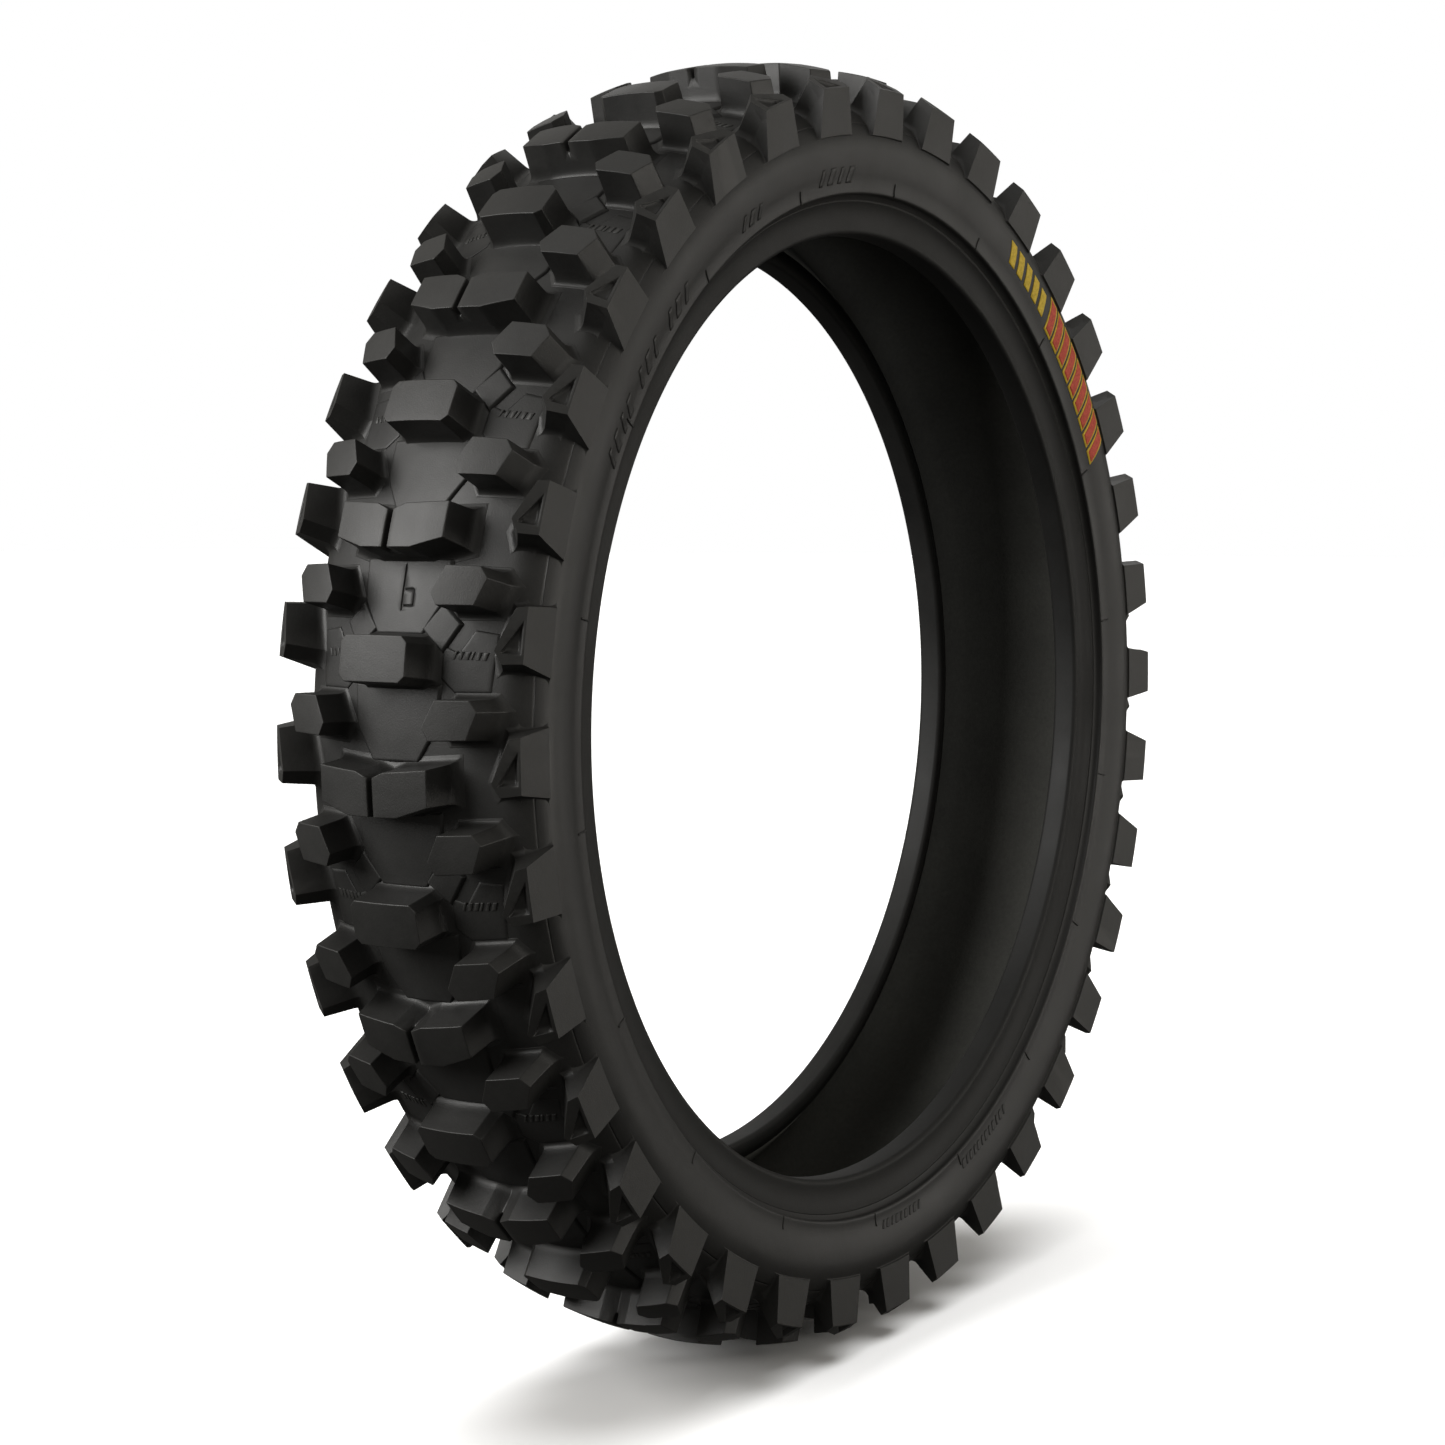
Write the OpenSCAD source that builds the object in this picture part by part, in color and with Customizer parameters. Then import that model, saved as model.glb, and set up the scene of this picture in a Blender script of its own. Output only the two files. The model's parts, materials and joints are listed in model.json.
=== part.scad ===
// Off-road motorcycle tyre, 120/80-19 size class, off the rim. Millimetres.
// The axle line is +Y, the tyre stands upright on -Z, and the origin is its centre.

/* [Overall] */
// Radius of the bead seats, where the tyre grips a 19 inch rim
bead_seat_r = 241.3; // [240.5:0.1:242]
// Radius over the centre blocks
tread_r = 330; // [328:0.5:332]
// Height of the centre blocks above the casing
block_height = 18; // [16:0.5:19]
// Half of the width between the outer faces of the two beads
bead_half_width = 53; // [52:0.5:54]

/* [Section] */
// Radius of the curve over the tops of the blocks, across the tread
crown_curve_r = 157; // [150:1:165]
// Sideways place of the casing's shoulder curve
shoulder_y = 43; // [42.5:0.5:43.5]
// Radius of the casing's shoulder curve
shoulder_curve_r = 22; // [21.5:0.5:22.5]
// Thickness of the tread cap under the blocks, at the crown
cap_t = 4; // [3.5:0.5:4.5]
// Thickness of the base rubber under the cap
under_tread_t = 1.5; // [1:0.5:2]
// Thickness of the breaker ply
breaker_t = 1; // [0.8:0.1:1.2]
// Thickness of each body ply
ply_t = 0.9; // [0.8:0.1:1]
// Thickness of the inner liner
liner_t = 1; // [0.8:0.1:1.2]

/* [Bead] */
// Diameter of one bead wire
wire_d = 1.3; // [1.2:0.1:1.35]
// Distance between neighbouring bead wires
wire_pitch = 1.42; // [1.4:0.01:1.45]
// Radius of the round rubber section that holds the wires
core_r = 3.9; // [3.8:0.1:4]
// Width of the flat seat under each bead
seat_w = 10.5; // [10:0.5:11]

/* [Tread pattern] */
// Number of times the tread pattern repeats round the tyre
pitches = 18; // [18:1:18]
// Angle of the first split row above the front horizontal, in degrees
row_phase = -3; // [-5:0.5:5]
// Width of the slit through the middle of a split block
slit_w = 2.8; // [2:0.2:3.4]
// How far a block's foot stands outside its top, all round
block_flare = 2; // [1.5:0.1:3]
// Height of the low platforms between the blocks
platform_h = 1.2; // [0.8:0.1:1.5]

/* [Hidden] */
$fn = 180;

pitch_angle = 360 / pitches;
casing_r = tread_r - block_height;          // outer radius of the casing at the crown
sink = 2.5;                                 // how deep a block's foot starts inside the casing

// ---- curves of the half section, as [y, r, normal y, normal r] ----

// Points on an arc about c. Angles run from straight up, and side -1 turns the normals inward.
function arc(c, radius, from, to, steps, side = 1) =
    [for (i = [0:steps]) let (a = from + (to - from) * i / steps)
        [c[0] + radius * sin(a), c[1] + radius * cos(a), side * sin(a), side * cos(a)]];

function moved(path, d) = [for (p = path) [p[0] + d * p[2], p[1] + d * p[3]]];
function backward(list) = [for (i = [len(list) - 1:-1:0]) list[i]];
function part_of(list, from, to) = [for (i = [from:to]) list[i]];
function other_side(path) = [for (p = backward(path)) [-p[0], p[1], -p[2], p[3]]];
function cross_of(a, b) = a[0] * b[1] - a[1] * b[0];

// Radius of the crown arc that passes the apex and runs smoothly into the shoulder arc
function crown_radius(apex, shoulder, radius) =
    (shoulder[0] ^ 2 + (shoulder[1] - apex) ^ 2 - radius ^ 2) / (2 * (apex - shoulder[1] - radius));

// Outer surface of the casing
out_shoulder = [shoulder_y, casing_r - 29];
out_crown_r = crown_radius(casing_r, out_shoulder, shoulder_curve_r);
out_crown = [0, casing_r - out_crown_r];
out_a1 = asin(out_shoulder[0] / (out_crown_r - shoulder_curve_r));
split_a = 55;                               // where the tread cap ends and the sidewall starts
side_a = 95;                                // where the flatter lower sidewall curve takes over
lower_r = 48;
lower_end_a = 118;
lower_c = [out_shoulder[0] + (shoulder_curve_r - lower_r) * sin(side_a),
           out_shoulder[1] + (shoulder_curve_r - lower_r) * cos(side_a)];

out_crown_path = arc(out_crown, out_crown_r, 0, out_a1, 12);
out_shoulder_path = arc(out_shoulder, shoulder_curve_r, out_a1, split_a, 6);
out_side_path = arc(out_shoulder, shoulder_curve_r, split_a, side_a, 8);
out_lower_path = arc(lower_c, lower_r, side_a, lower_end_a, 8);

// Height of the casing surface and of the block tops at sideways place y
function casing_at(y) = out_crown[1] + sqrt(out_crown_r ^ 2 - y ^ 2);
function top_at(y) = tread_r - y ^ 2 / (2 * crown_curve_r);

// Inner face of the body plies: crown, shoulder, then down to and round the bead
plies_t = 2 * ply_t;
belt_t = breaker_t + under_tread_t;
in_shoulder = [shoulder_y - 0.5, out_shoulder[1] - 4.5];
in_shoulder_r = 18;
in_apex = casing_r - cap_t - belt_t - plies_t;
in_crown_r = crown_radius(in_apex, in_shoulder, in_shoulder_r);
in_a1 = asin(in_shoulder[0] / (in_crown_r - in_shoulder_r));
chafer_t = 1.2;                             // rubber under the bead, between plies and rim
wrap_r = core_r + plies_t;
bead_c = [bead_half_width - 1.5 - wrap_r, bead_seat_r + chafer_t + wrap_r];
to_bead = bead_c - in_shoulder;
in_a2 = atan2(to_bead[0], to_bead[1]) - acos((in_shoulder_r + wrap_r) / norm(to_bead));
turn_lean = 15;                             // outward lean of the ply turn-up
turn_a = 90 + turn_lean;

crown_path = arc([0, in_apex - in_crown_r], in_crown_r, 0, in_a1, 12);
shoulder_path = arc(in_shoulder, in_shoulder_r, in_a1, in_a2, 14);
bead_path = arc(bead_c, wrap_r, in_a2 + 180, turn_a, 20, -1);
split_step = 5;                             // step of shoulder_path where the tread cap ends
belt_step = 11;                             // step of crown_path where the breaker ends

// Turn-up: straight from the bead, stopping just short of where it would meet the main ply
turn_dir = [sin(turn_lean), cos(turn_lean)];
main_dir = [-cos(in_a2), sin(in_a2)];
function turn_at(d, along) =
    [bead_c[0] + (wrap_r - d) * sin(turn_a) + along * turn_dir[0],
     bead_c[1] + (wrap_r - d) * cos(turn_a) + along * turn_dir[1]];
main_start = [in_shoulder[0] + (in_shoulder_r + plies_t) * sin(in_a2),
              in_shoulder[1] + (in_shoulder_r + plies_t) * cos(in_a2)];
tip_along = cross_of(main_start - turn_at(plies_t, 0), main_dir) / cross_of(turn_dir, main_dir);
filler_tip = turn_at(plies_t, tip_along);
turn_end = tip_along - 2;
chafer_along = 8;                           // how far up the turn-up the chafer reaches

function ply_half(d) = concat(moved(part_of(crown_path, 1, 12), d), moved(part_of(shoulder_path, 1, 14), d),
                              moved(bead_path, d), [turn_at(d, turn_end)]);
function liner_half(d) = concat(moved(part_of(crown_path, 1, 12), d), moved(part_of(shoulder_path, 1, 14), d),
                                [moved(bead_path, d)[0]]);
function both_sides(half, apex) = concat([for (p = backward(half)) [-p[0], p[1]]], [apex], half);

// Turns [y, r] outlines round the axle
module ring(outline) {
    rotate([-90, 0, 0]) rotate_extrude() polygon([for (p = outline) [p[1], p[0]]]);
}

module ring_piece(outline, from, sweep) {
    rotate([-90, 0, 0]) rotate([0, 0, from]) rotate_extrude(angle = sweep)
        polygon([for (p = outline) [p[1], p[0]]]);
}

// ---- rings under the tread ----

module tread_cap() {
    top = concat(moved(out_crown_path, 0), part_of(moved(out_shoulder_path, 0), 1, 6));
    under = concat(backward(moved(part_of(shoulder_path, 1, split_step), plies_t)),
                   [moved(crown_path, plies_t)[12], moved(crown_path, plies_t)[belt_step]],
                   backward(moved(part_of(crown_path, 1, belt_step), plies_t + belt_t)));
    half = concat(part_of(top, 1, len(top) - 1), under);
    apex_top = top[0];
    apex_under = [0, in_apex + plies_t + belt_t];
    color("#2b2b29") ring(concat([apex_top], half, [apex_under],
                                 [for (p = backward(half)) [-p[0], p[1]]]));
}

module belt_ring(low, high) {
    lower = both_sides(moved(part_of(crown_path, 1, belt_step), low), [0, in_apex + low]);
    upper = both_sides(moved(part_of(crown_path, 1, belt_step), high), [0, in_apex + high]);
    ring(concat(lower, backward(upper)));
}

module under_tread() {
    color("#343432") belt_ring(plies_t + breaker_t, plies_t + belt_t);
}

module breaker_ply() {
    color("#8a7f62") belt_ring(plies_t, plies_t + breaker_t);
}

module body_ply(low) {
    lower = both_sides(ply_half(low), [0, in_apex + low]);
    upper = both_sides(ply_half(low + ply_t), [0, in_apex + low + ply_t]);
    ring(concat(lower, backward(upper)));
}

module body_ply_outer() {
    color("#a2966f") body_ply(ply_t);
}

module body_ply_inner() {
    color("#988c68") body_ply(0);
}

module inner_liner() {
    lower = both_sides(liner_half(-liner_t), [0, in_apex - liner_t]);
    upper = both_sides(liner_half(0), [0, in_apex]);
    color("#1c1c1b") ring(concat(lower, backward(upper)));
}

// ---- sidewall and bead ----

rim_line = [57, casing_r - 53.6];           // inner corner of the step that marks the rim's edge
rib_corner = [rim_line[0] + 1.3, rim_line[1] + 0.4];

sidewall_outline = concat(
    moved(out_side_path, 0),
    part_of(moved(out_lower_path, 0), 1, 8),
    [[rib_corner[0] + 0.5, rib_corner[1] + 2.3], rib_corner, rim_line],
    [turn_at(0, chafer_along), turn_at(0, turn_end), turn_at(plies_t, turn_end), filler_tip],
    backward(moved(part_of(shoulder_path, split_step, 14), plies_t)));

module sidewall() {
    color("#2e2e2c") ring(sidewall_outline);
}

heel_r = 2.5;
toe_y = bead_half_width - heel_r - seat_w;
chafer_outline = concat(
    [rim_line, [rim_line[0] - 0.5, rim_line[1] - 2.5],
     [bead_half_width + 2, bead_seat_r + 11], [bead_half_width + 0.6, bead_seat_r + 6]],
    moved(arc([bead_half_width - heel_r, bead_seat_r + heel_r], heel_r, 90, 180, 6), 0),
    [[toe_y, bead_seat_r], [toe_y - 1.4, bead_seat_r + 0.8], [toe_y - 1.6, bead_seat_r + 4]],
    [moved(bead_path, -liner_t)[0]],
    moved(bead_path, 0),
    [turn_at(0, chafer_along)]);

module chafer() {
    color("#262624") ring(chafer_outline);
}

module bead_filler() {
    over_core = arc(bead_c, core_r, in_a2 - 180, turn_a, 16);
    color("#3a3a37") ring(concat([filler_tip], moved(over_core, 0), [turn_at(plies_t, turn_end)]));
}

// Nineteen wires in a hexagon, as in a wound bead
wire_spots = [for (i = [-2:2], j = [-2:2]) if (abs(i + j) <= 2)
    [bead_c[0] + wire_pitch * (i + j / 2), bead_c[1] + wire_pitch * j * sqrt(3) / 2]];
wire_sides = 12;

module wire_sections() {
    for (s = wire_spots) translate([s[1], s[0]]) circle(d = wire_d, $fn = wire_sides);
}

module bead_wires() {
    color("#b08d57") rotate([-90, 0, 0]) rotate_extrude() wire_sections();
}

module bead_rubber() {
    around = arc(bead_c, core_r, in_a2 - 180, turn_a, 16);
    under = arc(bead_c, core_r, in_a2 + 180, turn_a, 20);
    outline = concat(moved(around, 0), part_of(backward(moved(under, 0)), 1, 19));
    color("#30302e") rotate([-90, 0, 0]) rotate_extrude() difference() {
        polygon([for (p = outline) [p[1], p[0]]]);
        wire_sections();
    }
}

// ---- tread blocks ----

// Outlines are [sideways y, round-the-tyre t], in order so that the faces look outward
plain_outline = [[-15, -11.5], [15, -11.5], [18, -8.7], [18, 5.8],
                 [15.2, 8.6], [-15.2, 8.6], [-18, 5.8], [-18, -8.7]];
split_outline = [[slit_w / 2, -11.3], [13.5, -11.1], [29, -6.2], [29, 10], [7.5, 8.2], [slit_w / 2, 5.5]];
intermediate_outline = [[26.8, -3.2], [30, -9], [47, -8.2], [51.5, 4], [48, 9], [32.5, 8.6]];
// A shoulder block's top and foot, as [y, r, t]
shoulder_top = [[60.3, tread_r - 12.2, -11.9], [67.5, tread_r - 17.5, -11.2], [67.5, tread_r - 17.5, 14.3],
                [63.5, tread_r - 14.6, 13.2], [57.5, tread_r - 10.1, -5.9]];
shoulder_foot = [[50, casing_r - 9.5, -15.5], [62.6, casing_r - 27.5, -17], [62.6, casing_r - 27.5, 18.6],
                 [56, casing_r - 14, 16.5], [48.5, casing_r - 9, -8]];

function mean(list) = [for (k = [0:len(list[0]) - 1]) [for (p = list) 1] * [for (p = list) p[k]] / len(list)];
function place(p, angle) = let (a = angle + p[2] / tread_r * 180 / PI) [-p[1] * cos(a), p[0], p[1] * sin(a)];
function flared(outline, by) = let (m = mean(outline))
    [for (p = outline) let (d = p - m)
        p + by * [sign(d[0]) * min(1, abs(d[0]) / 5), sign(d[1]) * min(1, abs(d[1]) / 5)]];

// A closed block from its top corners and as many foot corners
module block(top, foot, angle) {
    n = len(top);
    points = [for (p = concat(top, foot, [mean(top)], [mean(foot)])) place(p, angle)];
    faces = [for (i = [0:n - 1]) let (j = (i + 1) % n)
        each [[i, j, 2 * n], [j, i, n + i], [j, n + i, n + j], [n + j, n + i, 2 * n + 1]]];
    polyhedron(points, faces);
}

// A block that stands on the crown, given its outline
module crown_block(outline, angle) {
    block([for (p = outline) [p[0], top_at(p[0]), p[1]]],
          [for (p = flared(outline, block_flare)) [p[0], casing_at(p[0]) - sink, p[1]]], angle);
}

// Everything inside the casing's outer surface, cut from the feet of the blocks
casing_half = concat(part_of(moved(out_crown_path, 0), 1, 12), part_of(moved(out_shoulder_path, 0), 1, 6),
                     part_of(moved(out_side_path, 0), 1, 8), part_of(moved(out_lower_path, 0), 1, 8));
module casing_inside() {
    ring(concat(both_sides(casing_half, [0, casing_r]),
                [[40, casing_r - 56], [-40, casing_r - 56]]));
}

module on_casing() {
    difference() {
        children();
        casing_inside();
    }
}

function split_row(i) = row_phase + i * pitch_angle;
function plain_row(i) = row_phase + (i + 0.5) * pitch_angle;
rows = [for (i = [0:2 * pitches - 1]) row_phase + i * pitch_angle / 2];
intermediate_shift = pitch_angle / 4 + 0.4;
shoulder_shift = 1.8;

module centre_blocks_plain() {
    color("#30302e") on_casing()
        for (i = [0:pitches - 1]) crown_block(plain_outline, plain_row(i));
}

module centre_blocks_split() {
    color("#30302e") on_casing() for (i = [0:pitches - 1]) {
        crown_block(split_outline, split_row(i));
        mirror([0, 1, 0]) crown_block(split_outline, split_row(i));
    }
}

module intermediate_blocks() {
    color("#30302e") on_casing() for (a = rows) crown_block(intermediate_outline, a + intermediate_shift);
}

module shoulder_blocks() {
    color("#2d2d2b") on_casing() for (a = rows) block(shoulder_top, shoulder_foot, a + shoulder_shift);
}

// ---- low platforms on the groove floor ----

wide_platform = [[-11, -14.5], [11, -14.5], [21, -2], [22, 13], [-22, 13], [-21, -2]];
outer_platform = [[24, -8], [30, -13.5], [45, -13], [47, 12], [38, 13], [31, 2], [24, 5]];

// A thin shell over the crown, from which the platforms are cut
platform_shell = let (half = part_of(out_crown_path, 1, 12))
    concat(both_sides(moved(half, 0), [0, casing_r]),
           backward(both_sides(moved(half, platform_h), [0, casing_r + platform_h])));
cut_reach = 6;                              // how far the cutting prisms reach above and below the casing

module platforms(outline, angles) {
    intersection() {
        ring(platform_shell);
        for (a = angles)
            block([for (p = outline) [p[0], casing_at(p[0]) + cut_reach, p[1]]],
                  [for (p = outline) [p[0], casing_at(p[0]) - cut_reach, p[1]]], a);
    }
}

module groove_platforms_centre() {
    color("#2b2b29") platforms(wide_platform, [for (a = rows) a + pitch_angle / 4]);
}

module groove_platforms_side() {
    color("#2b2b29") platforms(outer_platform, [for (i = [0:pitches - 1]) plain_row(i)]);
}

// ---- coloured labels on the sidewall: plain blocks, no lettering ----

label_t = 0.4;
label_path = concat(part_of(out_side_path, 6, 8), part_of(out_lower_path, 1, 3));
label_outline = concat(moved(label_path, 0), backward(moved(label_path, label_t)));
yellow_angles = [for (i = [0:4]) 119 + 2.1 * i];
red_angles = [for (i = [0:8]) 130.5 + 2.5 * i];

module label(angles, sweep) {
    for (a = angles) ring_piece(label_outline, a + 180, sweep);
}

module label_yellow() {
    color("#d8b21c") label(yellow_angles, 1.5);
}

module label_red() {
    color("#b2301c") label(red_angles, 2.1);
}

module right_side() {
    mirror([0, 1, 0]) children();
}

tread_cap();
under_tread();
breaker_ply();
body_ply_outer();
body_ply_inner();
inner_liner();
sidewall();  // sidewall_left
right_side() sidewall();  // sidewall_right
chafer();  // chafer_left
right_side() chafer();  // chafer_right
bead_filler();  // bead_filler_left
right_side() bead_filler();  // bead_filler_right
bead_rubber();  // bead_rubber_left
right_side() bead_rubber();  // bead_rubber_right
bead_wires();  // bead_wires_left
right_side() bead_wires();  // bead_wires_right
centre_blocks_plain();
centre_blocks_split();
intermediate_blocks();  // intermediate_blocks_left
right_side() intermediate_blocks();  // intermediate_blocks_right
shoulder_blocks();  // shoulder_blocks_left
right_side() shoulder_blocks();  // shoulder_blocks_right
groove_platforms_centre();
groove_platforms_side();  // groove_platforms_left
right_side() groove_platforms_side();  // groove_platforms_right
label_yellow();  // label_yellow_left
right_side() label_yellow();  // label_yellow_right
label_red();  // label_red_left
right_side() label_red();  // label_red_right
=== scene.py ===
import json
import math

import bmesh
import bpy
import numpy as np
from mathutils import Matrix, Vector
from mathutils.bvhtree import BVHTree

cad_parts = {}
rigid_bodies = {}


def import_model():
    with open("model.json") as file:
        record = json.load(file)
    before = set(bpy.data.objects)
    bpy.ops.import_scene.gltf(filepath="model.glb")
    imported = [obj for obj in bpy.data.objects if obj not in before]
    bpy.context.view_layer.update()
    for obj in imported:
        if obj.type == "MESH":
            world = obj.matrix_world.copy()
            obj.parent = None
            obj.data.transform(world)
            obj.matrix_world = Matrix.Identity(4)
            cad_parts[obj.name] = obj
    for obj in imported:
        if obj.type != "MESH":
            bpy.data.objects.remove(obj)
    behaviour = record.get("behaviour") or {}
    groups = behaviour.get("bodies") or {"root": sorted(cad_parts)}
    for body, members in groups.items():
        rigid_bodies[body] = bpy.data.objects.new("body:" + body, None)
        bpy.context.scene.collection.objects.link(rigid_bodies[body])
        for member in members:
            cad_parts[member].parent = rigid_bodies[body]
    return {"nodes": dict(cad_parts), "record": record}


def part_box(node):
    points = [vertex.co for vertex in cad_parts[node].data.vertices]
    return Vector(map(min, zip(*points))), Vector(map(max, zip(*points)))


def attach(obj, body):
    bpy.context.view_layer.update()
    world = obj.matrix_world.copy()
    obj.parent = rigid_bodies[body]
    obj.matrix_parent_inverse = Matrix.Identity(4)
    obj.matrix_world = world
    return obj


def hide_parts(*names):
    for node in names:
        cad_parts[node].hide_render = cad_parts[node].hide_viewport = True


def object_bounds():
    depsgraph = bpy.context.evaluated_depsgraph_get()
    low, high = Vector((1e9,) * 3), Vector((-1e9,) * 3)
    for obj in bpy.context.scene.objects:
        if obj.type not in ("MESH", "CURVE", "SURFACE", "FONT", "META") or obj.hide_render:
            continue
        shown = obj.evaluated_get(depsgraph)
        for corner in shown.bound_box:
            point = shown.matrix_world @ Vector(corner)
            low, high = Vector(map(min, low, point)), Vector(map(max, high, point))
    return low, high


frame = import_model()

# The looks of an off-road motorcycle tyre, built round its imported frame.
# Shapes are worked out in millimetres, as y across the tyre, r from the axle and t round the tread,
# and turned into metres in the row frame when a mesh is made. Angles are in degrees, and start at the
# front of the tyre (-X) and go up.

cad_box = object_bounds()
MM = 0.001


def reach(node, axis):
    """How far a CAD node reaches from the tyre's centre along an axis, in millimetres."""
    low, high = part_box(node)
    return max(-low[axis], high[axis]) / MM


# ---- driving sizes ----

CASING_R = reach("tread_cap", 2)
BLOCK_H = 18.0
TREAD_R = CASING_R + BLOCK_H
BEAD_R = frame["record"]["mounts"][0]["dims"]["r_mm"]
BEAD_HALF = 53.0            # half the width over the beads
CROWN_CURVE_R = 157.0       # curve over the tops of the blocks, across the tread
SHOULDER = (43.0, CASING_R - 29)
SHOULDER_R = 22.0
PLY_T, BELT_T, LINER_T = 0.9, 2.5, 1.0
CAP_T = 4.0
SPLIT_A, SIDE_A = 55.0, 95.0    # where the cap ends, and where the lower sidewall's flatter curve starts
LOWER_R = 48.0
SEGMENTS = 720              # steps round each ring

PITCHES = 18
PITCH = 360 / PITCHES
ROW_PHASE = -3.0
SPLIT_ROWS = [ROW_PHASE + PITCH * i for i in range(PITCHES)]
PLAIN_ROWS = [a + PITCH / 2 for a in SPLIT_ROWS]
ROWS = sorted(SPLIT_ROWS + PLAIN_ROWS)
MARKED_ROW = PLAIN_ROWS[0]  # the row whose groove carries the small insert mark

FLARE = 1.3                 # how far a block's foot stands outside its top
STEEP_FLARE = 0.9           # the same for the steeper intermediate blocks
FILLET = 3.6                # reach of the hollow curve round a block's foot
STEEP_FILLET = 2.8          # the same for the intermediate blocks
RISE = 5.0                  # height of that curve
SKIRT = 0.1                 # height at which the curve ends above the groove floor
EDGE = 0.4                  # rounding of a block's edges
SINK = 1.5                  # how deep a block's closed foot goes into the casing


# ---- camera, lights and floor ----

def make_camera():
    azimuth, elevation = math.radians(-57.9), math.radians(3.92)
    distance = 1.3965
    back = Vector((math.sin(azimuth) * math.cos(elevation),
                   -math.cos(azimuth) * math.cos(elevation), math.sin(elevation)))
    data = bpy.data.cameras.new("camera")
    data.sensor_width = 36
    data.lens = 66.07
    data.shift_x, data.shift_y = -0.0424, -0.012
    camera = bpy.data.objects.new("camera", data)
    camera.location = back * distance
    camera.rotation_mode = "QUATERNION"
    camera.rotation_quaternion = (-back).to_track_quat("-Z", "Y")
    bpy.context.scene.collection.objects.link(camera)
    bpy.context.scene.camera = camera


def lights_only(light, piece):
    """Keeps a light to one piece."""
    lit = bpy.data.collections.new(light.name + "_lit")
    lit.objects.link(piece)
    light.light_linking.receiver_collection = lit


def softbox(name, direction, distance, size, power, tint=(1, 1, 1)):
    """A rectangular soft light that faces the tyre's centre."""
    data = bpy.data.lights.new(name, "AREA")
    data.shape = "RECTANGLE"
    data.size, data.size_y = size
    data.energy = power
    data.color = tint
    light = bpy.data.objects.new(name, data)
    away = Vector(direction).normalized()
    light.location = away * distance
    light.rotation_mode = "QUATERNION"
    light.rotation_quaternion = away.to_track_quat("Z", "Y")
    bpy.context.scene.collection.objects.link(light)
    return light


def make_world():
    """White to look at, and a dim glow on the tyre that fades towards the floor."""
    world = bpy.data.worlds.new("studio")
    bpy.context.scene.world = world
    world.use_nodes = True
    nodes, links = world.node_tree.nodes, world.node_tree.links
    nodes.clear()
    glow = nodes.new("ShaderNodeBackground")
    glow.inputs["Color"].default_value = (1.0, 0.97, 0.9, 1)
    white = nodes.new("ShaderNodeBackground")
    white.inputs["Color"].default_value = (1, 1, 1, 1)
    white.inputs["Strength"].default_value = 1.0
    split = nodes.new("ShaderNodeSeparateXYZ")
    links.new(nodes.new("ShaderNodeTexCoord").outputs["Generated"], split.inputs[0])
    links.new(ranged(nodes, links, split.outputs["Z"], 0.05, 0.3, -0.35, 0.35), glow.inputs["Strength"])
    path = nodes.new("ShaderNodeLightPath")
    mix = nodes.new("ShaderNodeMixShader")
    out = nodes.new("ShaderNodeOutputWorld")
    links.new(path.outputs["Is Camera Ray"], mix.inputs["Fac"])
    links.new(glow.outputs[0], mix.inputs[1])
    links.new(white.outputs[0], mix.inputs[2])
    links.new(mix.outputs[0], out.inputs["Surface"])


def make_floor():
    """A pale floor with a soft light of its own, so that it stays white under a dark tyre."""
    mesh = bpy.data.meshes.new("floor")
    half, z = 30.0, cad_box[0].z
    corners = [(-half, -half, z), (half, -half, z), (half, half, z), (-half, half, z)]
    mesh.from_pydata(corners, [], [(0, 1, 2, 3)])
    floor = bpy.data.objects.new("floor", mesh)
    bpy.context.scene.collection.objects.link(floor)
    floor.visible_diffuse = False
    floor.visible_glossy = False
    material = bpy.data.materials.new("floor")
    material.use_nodes = True
    shader = material.node_tree.nodes["Principled BSDF"]
    shader.inputs["Base Color"].default_value = (0.93, 0.93, 0.93, 1)
    shader.inputs["Roughness"].default_value = 1.0
    shader.inputs["Specular IOR Level"].default_value = 0.0
    mesh.materials.append(material)
    data = bpy.data.lights.new("floor_light", "SUN")
    data.energy = 3.9
    data.angle = math.radians(62)
    light = bpy.data.objects.new("floor_light", data)
    bpy.context.scene.collection.objects.link(light)
    lights_only(light, floor)


# ---- materials ----

def mixed(nodes, links, kind, factor, first, second):
    """A Mix node of the given kind with plain values or linked sockets on its inputs."""
    mix = nodes.new("ShaderNodeMix")
    mix.data_type = "RGBA"
    mix.blend_type = kind
    for socket, value in ((mix.inputs[0], factor), (mix.inputs[6], first), (mix.inputs[7], second)):
        if isinstance(value, (int, float, tuple)):
            socket.default_value = value
        else:
            links.new(value, socket)
    return mix.outputs[2]


def noise(nodes, links, coords, scale, detail=4.0, rough=0.55):
    texture = nodes.new("ShaderNodeTexNoise")
    texture.inputs["Scale"].default_value = scale
    texture.inputs["Detail"].default_value = detail
    texture.inputs["Roughness"].default_value = rough
    links.new(coords, texture.inputs["Vector"])
    return texture.outputs["Fac"]


def ranged(nodes, links, value, low, high, from_low=0.3, from_high=0.7):
    spread = nodes.new("ShaderNodeMapRange")
    spread.inputs["From Min"].default_value = from_low
    spread.inputs["From Max"].default_value = from_high
    spread.inputs["To Min"].default_value = low
    spread.inputs["To Max"].default_value = high
    links.new(value, spread.inputs["Value"])
    return spread.outputs["Result"]


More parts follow.
